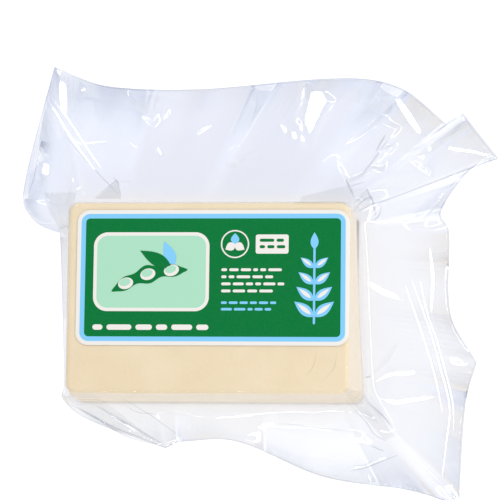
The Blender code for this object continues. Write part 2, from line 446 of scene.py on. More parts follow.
def spare_film(x, y, out):
    """How much longer the film is than its place, for each kind of link."""
    spare_round = np.full_like(x, SPARE_ROUND)
    spare_out = np.full_like(x, SPARE_OUT)
    for bunch_x, bunch_y, reach, more_round, more_out in BUNCHES:
        weight = np.exp(-((x - bunch_x) ** 2 + (y - bunch_y) ** 2) / reach**2)
        spare_round += more_round * weight
        spare_out += more_out * weight
    spare_round *= smooth_step(0.0, SPARE_FADE, out)
    return {"out": spare_out, "round": spare_round, "across": (spare_out + spare_round) / 2}


def straighten(points, turn, first):
    """Bends the film back where it turns a little, and leaves it where a crease has set."""
    size = (turn * turn).sum(-1, keepdims=True)
    points[first] += BEND * turn / (1.0 + size / CREASE_TURN**2)


def crumple(middle, out):
    """Gives the margins their spare film and lets it buckle into creases."""
    rng = np.random.default_rng(SEED)
    x, y = middle[..., 0], middle[..., 1]
    points = middle.copy()
    rumples = wave_noise(x, y, rng, RUMPLE_LENGTH) + 0.5 * wave_noise(x, y, rng, RUMPLE_LENGTH / 2.0)
    points[..., 2] += RUMPLE * smooth_step(FADE_FROM, FADE_TO, out) * rumples
    spare = spare_film(x, y, out)
    free = np.ones_like(x)
    free[0] = 0.0
    links = []
    for a, b, kind in neighbour_links(*x.shape):
        gap = middle[b] - middle[a]
        rest = np.sqrt((gap * gap).sum(-1)) * (1.0 + spare[kind][b])
        links.append((a, b, rest, (free[a], free[b])))
    before = points.copy()
    for _ in range(SIM_STEPS):
        moved = points + MOMENTUM * (points - before)
        before = points
        points = moved
        points[0] = middle[0]
        for _ in range(SIM_ROUNDS):
            for a, b, rest, shares in links:
                pull_together(points, a, b, rest, shares)
        straighten(points, (points[:-2] + points[2:]) / 2 - points[1:-1], slice(1, -1))
        turn = (np.roll(points, 1, 1) + np.roll(points, -1, 1)) / 2 - points
        straighten(points, turn[1:], slice(1, None))
        points[1:, :, 2] += HOLD * (middle[1:, :, 2] - points[1:, :, 2])
        points[-1, :, :2] += RIM_HOLD * (middle[-1, :, :2] - points[-1, :, :2])
    return points


def double_up(grid, axis, closed):
    """Puts a new point between each two neighbours along an axis, on a smooth curve through them."""
    rows = np.moveaxis(grid, axis, 0)
    if closed:
        padded = np.concatenate([rows[-1:], rows, rows[:2]])
        count = len(rows)
    else:
        padded = np.concatenate([2 * rows[:1] - rows[1:2], rows, 2 * rows[-1:] - rows[-2:-1]])
        count = len(rows) - 1
    between = (9.0 * (padded[1:-2] + padded[2:-1]) - padded[:-3] - padded[3:]) / 16.0
    made = np.empty((len(rows) + count, *rows.shape[1:]))
    made[0::2] = rows
    made[1::2] = between[:count]
    return np.moveaxis(made, 0, axis)


# ---------------------------------------------------------------- the front sheet's creases

# Creases: points along each, height (below 0 for a valley), half width.
CREASES = (
    (((75.0, 60.5), (81.0, 58.5), (85.5, 56.5), (93.0, 55.6), (101.0, 54.2)), 0.48, 0.9),
    (((86.0, 61.5), (90.0, 57.8), (98.0, 56.5)), 0.16, 0.9),
    (((49.0, 46.5), (51.0, 50.5), (57.0, 58.0), (62.0, 65.0)), 0.36, 0.7),
    (((50.5, 43.5), (54.5, 50.0), (60.0, 57.0), (64.0, 63.0)), -0.28, 0.7),
    (((51.0, 42.5), (57.0, 48.5), (63.0, 52.0)), 0.24, 0.8),
    (((51.5, 40.0), (58.0, 44.0), (68.0, 47.0), (77.0, 47.0)), 0.2, 0.9),
    (((52.0, 38.5), (62.0, 40.5), (78.0, 41.5)), 0.14, 0.9),
    (((53.0, 36.5), (64.0, 36.5), (76.0, 37.5)), 0.12, 1),
    (((68.0, 28.5), (75.0, 31.6), (83.0, 34.0)), 0.2, 0.8),
    (((68.0, 23.5), (75.5, 25.5), (83.5, 30.0)), -0.2, 0.9),
    (((51.0, -34.5), (57.5, -40.0), (64.0, -46.0)), 1.2, 1.9),
    (((55.0, -35.0), (60.0, -39.5), (65.5, -46.0)), 0.24, 0.5),
    (((48.5, -35.5), (56.0, -43.5), (62.0, -48.8)), 0.24, 0.5),
    (((49.5, -59.0), (54.0, -58.2), (60.0, -56.0), (66.5, -53.5)), -0.32, 0.7),
    (((49.5, -50.0), (54.0, -53.7)), -0.28, 0.8),
    (((47.0, -56.5), (53.0, -56.0), (58.0, -52.0)), 0.2, 0.6),
    (((40.0, -58.5), (50.0, -60.3), (62.0, -58.5), (74.0, -53.0)), 0.16, 1),
    (((-50.5, -36.5), (-42.0, -41.0), (-31.0, -47.3), (-18.0, -50.8)), -0.36, 0.8),
    (((-45.0, -37.8), (-34.0, -44.0), (-20.0, -50.0)), 0.32, 0.7),
    (((-41.0, -37.0), (-30.0, -43.3), (-16.5, -50.7)), -0.36, 0.7),
)
CURVE_STEPS = 8
CREASE_REACH = 3.0  # how many half widths out a crease still counts
CREASE_RISE = 0.12  # over what share of its run a crease rises at its start
CREASE_FALL = 0.3  # and falls at its end
BUNCHED_FACETS = 0.14  # height of the small facets where the film is bunched
BUNCHED_LENGTH = 9.0

# Flat facets that throw a strip light, or the bright side of the room, up to the camera.
FACETS = (
    ("left", ((33.5, 79.0), (31.5, 68.0), (34.5, 61.0), (40.5, 74.0), (37.5, 78.0))),
    ("left", ((27.0, 63.5), (28.5, 59.5), (30.0, 59.5), (29.0, 62.5))),
    ("front", ((71.5, 54.0), (75.5, 51.5), (75.5, 55.0))),
    ("front", ((55.0, 52.5), (59.5, 51.0), (61.5, 55.0), (56.0, 54.0))),
    ("room", ((-31.5, 79.0), (-28.0, 72.0), (-23.5, 68.5), (-22.0, 72.0), (-24.5, 78.5))),
    ("room", ((-21.0, 62.5), (-11.0, 62.5), (-16.0, 69.0))),
    ("room", ((-13.0, 71.5), (-7.0, 64.5), (0.5, 69.0))),
    ("room", ((47.5, 73.5), (49.5, 71.5), (62.5, 70.5), (63.5, 74.5), (56.0, 75.5))),
    ("room", ((45.0, 54.0), (49.0, 46.5), (53.0, 48.5), (64.0, 63.5), (60.0, 65.5))),
)
FACET_BLEND = 3.0  # how far round a facet the film turns back
FACET_FOCUS = 4  # how much a facet's place leans on the points well inside it
ROOM_SLOPE = 0.05

# Film that lies doubled or wet against the block, darkened partly for its layers and partly as painted shade
# of the block's shadowed side: how dark, and its outline.
DOUBLED_AND_SHADE = (
    (0.8, ((-42.6, 38.0), (-33.8, 38.0), (-35.4, 44.5))),
    (0.7, ((-62.0, 40.5), (-60.0, 33.6), (-55.9, 27.3), (-50.0, 27.0), (-50.0, 39.5))),
    (0.5, ((-57.0, 28.0), (-56.0, -5.0), (-50.0, -5.0), (-50.0, 28.0))),
    (0.5, ((30.0, 33.0), (49.5, 33.0), (49.5, 42.5), (43.0, 41.2), (32.0, 38.4))),
    (0.3, ((52.5, 14.0), (55.0, 30.0), (57.5, 32.0), (55.0, 41.5), (50.0, 41.0))),
    (0.5, ((47.5, -32.0), (61.8, -48.3), (65.0, -46.9), (54.0, -32.0))),
    (0.4, ((-52.0, -34.0), (-42.0, -42.5), (-18.0, -51.2), (-30.0, -42.0), (-40.0, -34.0))),
)
DOUBLED_AND_SHADE_TINT = (0.80, 0.80, 0.785)
DOUBLED_AND_SHADE_BLEND = 0.5
EDGE_TINT = (0.78, 0.80, 0.86)
EDGE_LINE = 0.5
CLEAR_TINT = (0.977, 0.982, 0.998)
PAINTED_COOL_TINT = (0.934, 0.947, 0.98)  # painted dim lavender reflection beyond the block's head
PAINTED_COOL_Y = (15.0, 45.0)  # where the painted reflection comes in
PAINTED_COOL_X = (45.0, 85.0)  # and where it ends
PAINTED_BRIGHT_LOW = 0.7  # how much of its tint the film loses below the block's foot, a painted bright reflection
LOW_Y = (-45.0, -30.0)  # where it does

SIDE_HAZE = 0.3  # air and water between film and block, which pale the block's sides
HAZE_FADE = 2.5  # how far into the margins this goes on
TIGHT_FADE = 9.0  # how far out the film by the block stays less glossy
TOP_BAND = 0.2  # points at most this far below the top lie on the top face


def curve_through(points, steps=CURVE_STEPS):
    """Points on a smooth curve through a few points."""
    line = np.array(points)
    padded = np.concatenate([2 * line[:1] - line[1:2], line, 2 * line[-1:] - line[-2:-1]])
    t = (np.arange(steps) / steps)[:, None]
    made = []
    for a, b, c, d in zip(padded, padded[1:], padded[2:], padded[3:]):
        made.append(
            b + 0.5 * t * (c - a)
            + t * t * (a - 2.5 * b + 2.0 * c - 0.5 * d)
            + t**3 * (1.5 * (b - c) + 0.5 * (d - a))
        )
    return np.concatenate([*made, line[-1:]])


def distance_to_curve(x, y, curve):
    """The distance of points from a curve, and how far along it they lie, 0 to 1."""
    nearest = np.full_like(x, np.inf)
    along = np.zeros_like(x)
    count = len(curve) - 1
    for step in range(count):
        away, share = distance_to_line(x, y, *curve[step], *curve[step + 1])
        closer = away < nearest
        nearest = np.where(closer, away, nearest)
        along = np.where(closer, (step + share) / count, along)
    return nearest, along


def crease_height(x, y):
    """The height that the creases add at points of the front sheet."""
    total = np.zeros_like(x)
    for points, height, half_width in CREASES:
        curve = curve_through(points)
        reach = CREASE_REACH * half_width
        low, high = curve.min(0) - reach, curve.max(0) + reach
        near = (x > low[0]) & (x < high[0]) & (y > low[1]) & (y < high[1])
        away, along = distance_to_curve(x[near], y[near], curve)
        taper = smooth_step(0.0, CREASE_RISE, along) * smooth_step(0.0, CREASE_FALL, 1.0 - along)
        total[near] += height * taper * np.exp(-((away / half_width) ** 2))
    return total


def inside_share(x, y, outline, blend):
    """1 inside a convex outline that runs anticlockwise, falling to 0 a little way outside it."""
    beyond = np.full_like(x, -np.inf)
    for (x0, y0), (x1, y1) in zip(outline, outline[1:] + outline[:1]):
        length = math.hypot(x1 - x0, y1 - y0)
        away = ((y1 - y0) * (x - x0) - (x1 - x0) * (y - y0)) / length
        beyond = np.maximum(beyond, away)
    return 1.0 - smooth_step(0.0, blend, beyond)


def facet_slope(light, place):
    """How fast a facet at a place falls along x and y when it throws a light up to the camera."""
    if light == "room":
        side = np.array(BRIGHT_SIDE)[:2]
        return ROOM_SLOPE * side / np.linalg.norm(side)
    needed = half_way(light, 0.0, place)
    return needed[:2] / needed[2]


def flatten_facets(x, y, z):
    """Turns each facet of the front sheet into a plane of its own, in place."""
    for light, outline in FACETS:
        share = inside_share(x, y, outline, FACET_BLEND)
        weight = share**FACET_FOCUS / (share**FACET_FOCUS).sum()
        place = np.array([(values * weight).sum() for values in (x, y, z)])
        slope = facet_slope(light, place)
        plane = place[2] - slope[0] * (x - place[0]) - slope[1] * (y - place[1])
        z += share * (plane - z)


def film_tint(x, y, rim_share):
    """What each point of the front sheet lets through, as a colour, painted reflection and painted shade
    included.
    """
    # Painted reflection: the film beyond the block's head is tinted lavender, as if it mirrored a dim sky.
    painted_cool = smooth_step(*PAINTED_COOL_Y, y) * (1.0 - smooth_step(*PAINTED_COOL_X, x))
    tint = np.array(CLEAR_TINT) * (1.0 - painted_cool[..., None] * (1.0 - np.array(PAINTED_COOL_TINT)))
    # Painted reflection: the film below the block's foot is made paler, as if it mirrored a bright sky.
    tint += PAINTED_BRIGHT_LOW * (1.0 - smooth_step(*LOW_Y, y))[..., None] * (1.0 - tint)
    # Painted shade, together with the darkening of doubled film: grey patches where the film lies against the
    # block.
    for darkness, outline in DOUBLED_AND_SHADE:
        share = darkness * inside_share(x, y, outline, DOUBLED_AND_SHADE_BLEND)
        tint *= 1.0 - share[..., None] * (1.0 - np.array(DOUBLED_AND_SHADE_TINT))
    return tint * (1.0 - rim_share[..., None] * (1.0 - np.array(EDGE_TINT)))


# ---------------------------------------------------------------- meshes


def grid_cap(rows, ring, first, flip, fine):
    """Closes a ring of spokes with a grid of squares; returns its new points and its faces."""
    n_long, n_short = LONG_SPOKES * fine, SHORT_SPOKES * fine
    index = np.full((n_long + 1, n_short + 1), -1)
    for i in range(n_long + 1):
        index[i, 0] = first + i
        index[i, n_short] = first + 2 * n_long + n_short - i
    for j in range(n_short + 1):
        index[n_long, j] = first + n_long + j
        index[0, j] = first + (2 * (n_long + n_short) - j) % len(ring)
    made = []
    for i in range(1, n_long):
        for j in range(1, n_short):
            x = ring[index[i, 0] - first, 0]
            y = ring[index[n_long, j] - first, 1]
            index[i, j] = rows + len(made)
            made.append((x, y, ring[0, 2]))
    faces = []
    for i in range(n_long):
        for j in range(n_short):
            face = (index[i, j], index[i + 1, j], index[i + 1, j + 1], index[i, j + 1])
            faces.append(face[::-1] if flip else face)
    return made, faces


def ring_mesh(name, rings, fine, top=False, base=False):
    """A mesh through rings of spokes, closed by a cap at its first ring, its last ring or both."""
    count = len(rings[0])
    points = [np.concatenate(rings)]
    faces = []
    for row in range(len(rings) - 1):
        for s in range(count):
            after = (s + 1) % count
            a, b = row * count, (row + 1) * count
            faces.append((a + s, b + s, b + after, a + after))
    total = len(points[0])
    last = len(rings) - 1
    for row, flip in ([(0, False)] if top else []) + ([(last, True)] if base else []):
        made, cap = grid_cap(total, rings[row], row * count, flip, fine)
        points.append(np.array(made))
        total += len(made)
        faces += cap
    mesh = bpy.data.meshes.new(name)
    mesh.from_pydata((np.concatenate(points) * MM).tolist(), [], faces)
    mesh.shade_smooth()
    mesh.update()
    return mesh


def add_piece(mesh, material, slot_name, replaced=()):
    """A piece of the part: it rides on the one body, and may take the place of CAD nodes."""
    piece = place_object(mesh.name, mesh)
    if slot_name == "film":  # it is too clear to shade what is under it
        piece.visible_shadow = False
        piece.visible_diffuse = False
    if material is not None:
        mesh.materials.append(material)
    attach(piece, "root")
    if replaced:
        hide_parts(*replaced)
    return piece


def edge_rings(spoke, upper, shrink=0.0):
    """The rings of the rounded edge, from the flat face to the side."""
    rings = []
    for step in range(EDGE_STEPS + 1):
        angle = math.pi / 2 * step / EDGE_STEPS
        inset = EDGE_RADIUS * (1.0 - math.sin(angle))
        drop = EDGE_RADIUS * (1.0 - math.cos(angle)) + shrink
        rings.append(side_points(spoke, inset, BLOCK_HEIGHT - drop if upper else drop, shrink))
    return rings


def tight_rings(spoke, upper, sheet):
    """The rings of the film that is tight on the block, down or up to where the sheet starts."""
    rings = edge_rings(spoke, upper)
    start = rings[-1][:, 2]
    for step in range(1, SIDE_STEPS):
        share = step / SIDE_STEPS
        rings.append(side_points(spoke, 0.0, start + (sheet[0, :, 2] - start) * share))
    return rings


def buckled_margin():
    """The margins' middle surface with its creases, fine and coarse, and how far out it is."""
    fine, out, width = margin_middle(np.arange(SPOKES * FINE) / FINE, FINE_RINGS)
    coarse = fine[::2, ::2].copy()
    moved = crumple(coarse, out[::2, ::2]) - coarse
    moved[..., :2] *= smooth_step(0.0, RIM_REACH, (width - out)[::2, ::2])[..., None]
    fine += double_up(double_up(moved, 0, False), 1, True)
    coarse += moved
    return fine, coarse, out, width


def make_film(front_material, back_material):
    """The pouch's two sheets: the front with every crease, the back with its own slack."""
    fine, coarse, out, width = buckled_margin()
    rng = np.random.default_rng(SEED + 1)
    spoke = np.arange(SPOKES * FINE) / FINE
    x, y = fine[..., 0], fine[..., 1]
    z = fine[..., 2] + partings(spoke, out, width)[0] + SHEETS / 2
    fading = smooth_step(FADE_FROM, FADE_TO, out) * smooth_step(0.0, RIM_FADE, width - out)
    facets = BUNCHED_FACETS * bunching(x, y) * facet_noise(x, y, rng, BUNCHED_LENGTH)
    z += fading * (crease_height(x, y) + facets)
    flatten_facets(x, y, z)
    front = np.stack([x, y, z], -1)
    rings = tight_rings(spoke, True, front) + list(front)
    mesh = ring_mesh("film_front", rings, FINE, top=True)
    paint_tint(mesh, rings, width - out)
    paint_tight(mesh, out, len(np.concatenate(rings)) - x.size)
    film_front = add_piece(mesh, front_material, "film", ("pouch",))

    spoke = spoke[::2]
    lowered = partings(spoke, out[::2, ::2], width[::2])[1]
    slack = BACK_SLACK * wave_noise(coarse[..., 0], coarse[..., 1], rng, BACK_SLACK_LENGTH)
    slack *= fading[::2, ::2]
    back = coarse.copy()
    back[..., 2] += slack - lowered - SHEETS / 2
    back[..., 2] = np.minimum(back[..., 2], z[::2, ::2] - LEAST_GAP * (lowered < TOUCHING))
    mesh = ring_mesh("film_back", list(back) + tight_rings(spoke, False, back)[::-1], COARSE, base=True)
    paint_tight(mesh, out[::2, ::2], 0)
    add_piece(mesh, back_material, "film", ("pouch",))
    return film_front


def paint_tight(mesh, out, loose_first):
    """Marks the points that are tight on the block, and how milky each of them looks."""
    places = np.empty(3 * len(mesh.vertices))
    mesh.vertices.foreach_get("co", places)
    height = places[2::3] / MM
    tight = np.ones(len(mesh.vertices))
    tight[loose_first:loose_first + out.size] = 1.0 - smooth_step(0.0, TIGHT_FADE, out).ravel()
    beside = smooth_step(BLOCK_HEIGHT - TOP_BAND, BLOCK_HEIGHT - EDGE_RADIUS, height)
    beside[loose_first:loose_first + out.size] = 1.0 - smooth_step(0.0, HAZE_FADE, out).ravel()
    for name, values in (("tight", tight), ("haze", SIDE_HAZE * beside)):
        layer = mesh.attributes.new(name, "FLOAT", "POINT")
        layer.data.foreach_set("value", values)


def paint_tint(mesh, rings, from_rim):
    """Writes to the mesh what each of its points lets through, painted reflection and painted shade included.
    """
    points = np.concatenate(rings)
    rim_share = np.zeros(len(points))
    rim_share[len(points) - from_rim.size:] = 1.0 - smooth_step(0.0, EDGE_LINE, from_rim).ravel()
    tint = np.empty((len(mesh.vertices), 4))
    tint[:] = (*CLEAR_TINT, 1.0)
    tint[:len(points), :3] = film_tint(points[:, 0], points[:, 1], rim_share)
    on_block = points[:, 2] > BLOCK_HEIGHT - TOP_BAND
    tint[:len(points)][on_block, :3] = CLEAR_TINT
    layer = mesh.attributes.new("tint", "FLOAT_COLOR", "POINT")
    layer.data.foreach_set("color", tint.ravel())


TOFU_GAP = 0.25  # between the block and the film that is tight on it


def make_tofu(material):
    """The block, a little inside the film."""
    spoke = np.arange(SPOKES * COARSE) / COARSE
    top = edge_rings(spoke, True, TOFU_GAP)
    base = edge_rings(spoke, False, TOFU_GAP)
    high, low = top[-1][0, 2], base[-1][0, 2]
    steps = 2 * SIDE_STEPS
    sides = [
        side_points(spoke, 0.0, high + (low - high) * step / steps, TOFU_GAP)
        for step in range(1, steps)
    ]
    mesh = ring_mesh("tofu", top + sides + base[::-1], COARSE, top=True, base=True)
    return add_piece(mesh, material, "tofu", ("pouch",))


# Pinched pleats and the edges of folded film: points along each, and its width. Their film is tinted darker,
# partly for its layers and partly as painted crease shade.
PLEATS = (
    (((-55.0, 61.5), (-45.5, 50.8), (-41.0, 46.0), (-34.2, 39.0)), 0.35),
    (((-36.8, 45.8), (-34.6, 43.6)), 0.3),
    (((-64.0, 60.0), (-66.5, 47.0), (-68.5, 41.0)), 0.35),
    (((-42.8, 38.8), (-38.6, 42.2), (-35.4, 44.5), (-34.4, 41.5), (-33.8, 39.0)), 0.3),
    (((46.6, 46.5), (48.0, 43.5), (49.5, 40.5), (50.5, 38.0)), 0.8),
    (((54.9, 41.4), (57.0, 36.5), (58.2, 31.6)), 0.8),
    (((60.3, 34.9), (59.2, 31.6), (56.8, 29.4)), 0.4),
    (((52.0, 38.5), (55.5, 41.0)), 0.3),
    (((49.8, 34.0), (53.0, 38.0), (55.5, 40.0)), 0.5),
    (((50.0, 31.0), (54.0, 36.5), (57.0, 38.5)), 0.4),
    (((48.8, 42.3), (54.0, 43.8)), 0.3),
    (((50.2, 44.5), (56.0, 50.5), (60.5, 56.5)), 0.3),
    (((53.5, 47.5), (57.5, 53.0), (62.5, 60.0)), 0.35),
    (((58.0, 55.5), (60.0, 59.0), (61.5, 61.5)), 0.7),
    (((54.8, -26.8), (56.8, -25.9)), 0.6),
    (((48.2, -35.0), (55.0, -42.0), (58.0, -46.3), (61.8, -48.6)), 0.4),
    (((55.5, -35.5), (61.0, -40.0), (64.8, -44.5)), 0.4),
    (((57.0, -50.5), (61.5, -52.3)), 0.5),
    (((49.4, -59.0), (54.0, -58.3), (60.0, -56.0), (66.4, -53.5)), 0.4),
    (((50.0, -57.6), (55.0, -57.0), (58.0, -54.8)), 0.3),
    (((-50.5, -36.4), (-42.0, -41.0), (-31.0, -47.3), (-17.2, -51.0)), 0.7),
    (((-41.0, -37.0), (-30.0, -43.3), (-16.8, -50.7)), 0.8),
    (((-47.0, -38.0), (-36.0, -44.0), (-24.0, -48.4)), 0.5),
    (((-40.0, -36.6), (-35.0, -41.3), (-30.0, -43.0)), 0.3),
    (((-31.3, -34.6), (-22.2, -39.9), (-12.0, -47.0)), 0.3),
    (((-31.3, -36.4), (-26.0, -39.2), (-20.0, -39.6)), 0.3),
    (((35.0, -27.5), (37.5, -24.0), (38.5, -19.0)), 0.2),
    (((41.0, -29.0), (44.5, -25.0), (45.5, -20.0)), 0.2),
)
PLEAT_STEPS = 14
PLEAT_CREST = 1.3  # a ridge's height at its middle, for each unit of its half width
PLEAT_FOOT = 0.03  # and at its edges
RIBBON_LIFT = 0.03  # how far pleats and glints lie over the sheet
RIBBON_TIP = 0.02  # share of its run from which a ribbon has its end's width
ABOVE_ALL = 0.1  # a height over everything, in metres

# Sharp folds that throw a strip light up to the camera: the light, points along each, and its width.
GLINTS = (
    ("right", ((-56.5, 84.0), (-56.0, 76.0), (-55.5, 69.0)), 2.4),
    ("right", ((-50.0, 82.0), (-48.5, 78.0)), 1.8),
    ("right", ((-61.5, 53.5), (-62.0, 49.0), (-63.5, 45.0)), 2.0),
    ("back", ((-61.5, 75.0), (-52.5, 60.5), (-43.5, 48.5)), 0.6),
    ("back", ((-60.0, 75.5), (-53.5, 67.0), (-46.5, 56.5), (-41.5, 49.5)), 0.45),
    ("front", ((-35.5, 43.8), (-29.5, 44.4)), 0.9),
    ("back", ((-21.5, 58.0), (-19.0, 53.5)), 0.6),
    ("front", ((3.5, 51.0), (7.0, 50.5), (14.5, 56.5)), 1.8),
    ("back", ((64.0, 77.5), (69.5, 69.0), (75.0, 60.5)), 2.2),
    ("front", ((75.0, 60.5), (81.0, 58.5), (85.5, 56.5), (93.0, 55.5), (100.0, 54.2)), 0.9),
    ("right", ((71.0, 9.0), (77.5, -9.0), (81.0, -21.5), (84.5, -36.0), (83.5, -48.0), (82.0, -60.5)), 0.24),
    ("right", ((74.0, 9.0), (76.5, -2.5), (81.0, -16.0), (85.5, -34.0), (86.0, -44.0)), 0.24),
    ("right", ((69.0, 6.0), (74.0, -8.0), (79.0, -24.0), (82.0, -38.0)), 0.2),
    ("right", ((77.5, 20.5), (78.5, 10.0), (78.0, -2.0)), 0.9),
    ("back", ((55.5, 7.5), (60.5, 4.5), (68.0, 1.5)), 2.0),
    ("left", ((57.5, -25.0), (62.0, -20.5), (66.0, -14.0)), 2.0),
    ("front", ((59.0, -27.5), (64.5, -25.0), (71.0, -24.5), (77.0, -22.0)), 1.1),
    ("front", ((60.0, -34.0), (66.0, -35.0), (72.0, -34.0), (78.5, -33.0)), 1.2),
)
GLINT_SHIFTS = 41  # how many points of a strip light are tried
LONG_GLINT = 4  # from how many points on a fold bends with the sheet
GLINT_CLEARANCE = 0.5  # how much of the sheet's highest bulge over its mean line a fold rises by


def sheet_tree(film_front):
    """The front sheet's faces, to be searched."""
    sheet = film_front.data
    return BVHTree.FromPolygons([v.co for v in sheet.vertices], [p.vertices for p in sheet.polygons])


def sheet_height(tree, x, y):
    """The height of the front sheet at a point, or of its rim nearest to a point beyond it."""
    hit = tree.ray_cast(Vector((x * MM, y * MM, ABOVE_ALL)), Vector((0.0, 0.0, -1.0)))[0]
    return (hit or tree.find_nearest(Vector((x, y, SEAM_HEIGHT)) * MM)[0]).z / MM


def ribbon_path(points, steps):
    """A smooth curve, the direction across it at each point, and how wide it is there, 0 to 1."""
    curve = curve_through(points, steps)
    along = np.gradient(curve, axis=0)
    across = np.stack([-along[:, 1], along[:, 0]], -1) / np.linalg.norm(along, axis=1)[:, None]
    share = np.clip(np.linspace(0.0, 1.0, len(curve)), RIBBON_TIP, 1.0 - RIBBON_TIP)
    return curve, across, np.sin(np.pi * share) ** 0.5


def glint_slopes(light, places, across):
    """How fast each place of a fold falls across its run, to throw a strip light to the camera."""
    along = np.gradient(places, axis=0)
    shifts = np.linspace(-0.5, 0.5, GLINT_SHIFTS) * STRIPS[light][2]
    tried = half_way(light, shifts[:, None, None], places)
    best = abs((tried * along).sum(-1)).argmin(0)
    needed = tried[best, np.arange(len(places))]
    return (needed[:, :2] * across).sum(1) / needed[:, 2]


class Ribbons:
    """Narrow folds of film: rows of points across each one's run, joined by faces."""

    def __init__(self):
        self.points = []
        self.faces = []

    def add_row(self, row, joined):
        """Adds a row of points in millimetres, joined to the row before it or not."""
        first = len(self.points)
        self.points += [(x * MM, y * MM, z * MM) for x, y, z in row]
        if joined:
            for a in range(first, first + len(row) - 1):
                self.faces.append((a - len(row), a, a + 1, a + 1 - len(row)))

    def finish(self, name, material):
        """Makes the folds one piece of the film."""
        mesh = bpy.data.meshes.new(name)
        mesh.from_pydata(self.points, [], self.faces)
        mesh.shade_smooth()
        return add_piece(mesh, material, "film")


def make_glints(film_front, material):
    """Narrow flat folds along GLINTS, each turned across its run to throw its light to the camera."""
    tree = sheet_tree(film_front)
    ribbons = Ribbons()
    for light, path, width in GLINTS:
        curve, across, shape = ribbon_path(path, PLEAT_STEPS)
        heights = np.array([sheet_height(tree, x, y) for x, y in curve])
        steps = np.arange(len(curve))
        degree = 1 if len(path) < LONG_GLINT else 2
        level = np.polyval(np.polyfit(steps, heights, degree), steps)
        level += GLINT_CLEARANCE * max(0.0, (heights - level).max())
        slope = glint_slopes(light, np.column_stack([curve, level]), across)
        half = width / 2 * shape
        for step, place in enumerate(curve):
            row = []
            for side in (-1.0, 1.0):
                x, y = place + side * half[step] * across[step]
                z = level[step] + half[step] * (abs(slope[step]) - side * slope[step]) + RIBBON_LIFT
                row.append((x, y, z))
            ribbons.add_row(row, step > 0)
    return ribbons.finish("film_glints", material)


def make_pleats(film_front, material):
    """Narrow ridges of film along PLEATS, on the front sheet."""
    tree = sheet_tree(film_front)
    ribbons = Ribbons()
    for path, width in PLEATS:
        curve, across, shape = ribbon_path(path, PLEAT_STEPS)
        half = width / 2 * shape
        for step, place in enumerate(curve):
            row = []
            for side, height in ((-1.0, PLEAT_FOOT), (0.0, PLEAT_CREST), (1.0, PLEAT_FOOT)):
                x, y = place + side * half[step] * across[step]
                row.append((x, y, sheet_height(tree, x, y) + height * half[step] + RIBBON_LIFT))
            ribbons.add_row(row, step > 0)
    return ribbons.finish("film_pleats", material)


# ---------------------------------------------------------------- the print

PANEL_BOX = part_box("label")
PANEL_LEFT = round(PANEL_BOX[0].x / MM, 1)
PANEL_RIGHT = round(PANEL_BOX[1].x / MM, 1)
PANEL_BOTTOM = round(PANEL_BOX[0].y / MM, 1)
PANEL_TOP = round(PANEL_BOX[1].y / MM, 1)
PANEL_CORNER = 4.5
PANEL_LEAST_CORNER = 1.5
PRINT_GAP = 0.05
INK_STEP = 0.03
KEYLINE = 1.4
BORDER = 1.65


def top_height(x, y):
    """The height of the film's top over points, on its flat face or its rounded edge."""
    beyond_x = np.abs(x) - (BLOCK_LENGTH / 2 - CORNER_RADIUS)
    beyond_y = np.abs(y) - (BLOCK_WIDTH / 2 - CORNER_RADIUS)
    outside = np.hypot(np.maximum(0.0, beyond_x), np.maximum(0.0, beyond_y))
    inside = CORNER_RADIUS - outside - np.minimum(0.0, np.maximum(beyond_x, beyond_y))
    short = EDGE_RADIUS - np.clip(inside, 0.0, EDGE_RADIUS)
    return BLOCK_HEIGHT - EDGE_RADIUS + np.sqrt(EDGE_RADIUS**2 - short**2)


def lift(x, y, layer=0):
    """Points on the film's top, raised by one step of ink for each layer below."""
    return np.stack([x, y, top_height(x, y) + PRINT_GAP + INK_STEP * layer], -1) * MM


def add_loop(mesh, x, y, layer, ink):
    """A flat shape with a closed outline."""
    face = mesh.faces.new([mesh.verts.new(point) for point in lift(x, y, layer).tolist()])
    face.material_index = ink


def add_strip(mesh, outer, inner, layer, ink, closed=True):
    """A band between two lines of as many points, each an x and a y array."""
    rows = [[mesh.verts.new(point) for point in lift(x, y, layer).tolist()] for x, y in (outer, inner)]
    count = len(rows[0])
    for s in range(count if closed else count - 1):
        after = (s + 1) % count
        face = mesh.faces.new((rows[0][s], rows[0][after], rows[1][after], rows[1][s]))
        face.material_index = ink


def turned(x, y, u, v, turn):
    """Points u, v turned by an angle in degrees and moved to x, y."""
    c, s = math.cos(math.radians(turn)), math.sin(math.radians(turn))
    return x + c * u - s * v, y + s * u + c * v


def ellipse(x, y, half_x, half_y, turn=0.0, count=96):
    """The outline of an ellipse, turned by an angle in degrees."""
    angle = np.arange(count) * 2.0 * np.pi / count
    return turned(x, y, half_x * np.cos(angle), half_y * np.sin(angle), turn)


def leaf(x, y, length, width, turn):
    """A pointed leaf from its stalk at x, y, turned by an angle in degrees."""
    share = np.linspace(0.0, 1.0, 25)
    half = width / 2 * np.sin(np.pi * share**0.8)
    u = np.concatenate([share, share[-2:0:-1]]) * length
    v = np.concatenate([-half, half[-2:0:-1]])
    return turned(x, y, u, v, turn)


def box_loop(left, bottom, right, top, radius, inset=0.0):
    """The outline of a rectangle with rounded corners, drawn in by inset."""
    half_x, half_y = (right - left) / 2 - inset, (top - bottom) / 2 - inset
    u, v = square_points(np.arange(4 * SPOKES) / 4.0)
    x, y = round_corners(u * half_x, v * half_y, half_x, half_y, min(radius, half_x, half_y))
    return x + (left + right) / 2, y + (bottom + top) / 2


def panel_loop(inset):
    """The panel's outline, drawn in by inset."""
    radius = max(PANEL_CORNER - inset, PANEL_LEAST_CORNER)
    return box_loop(PANEL_LEFT, PANEL_BOTTOM, PANEL_RIGHT, PANEL_TOP, radius, inset)


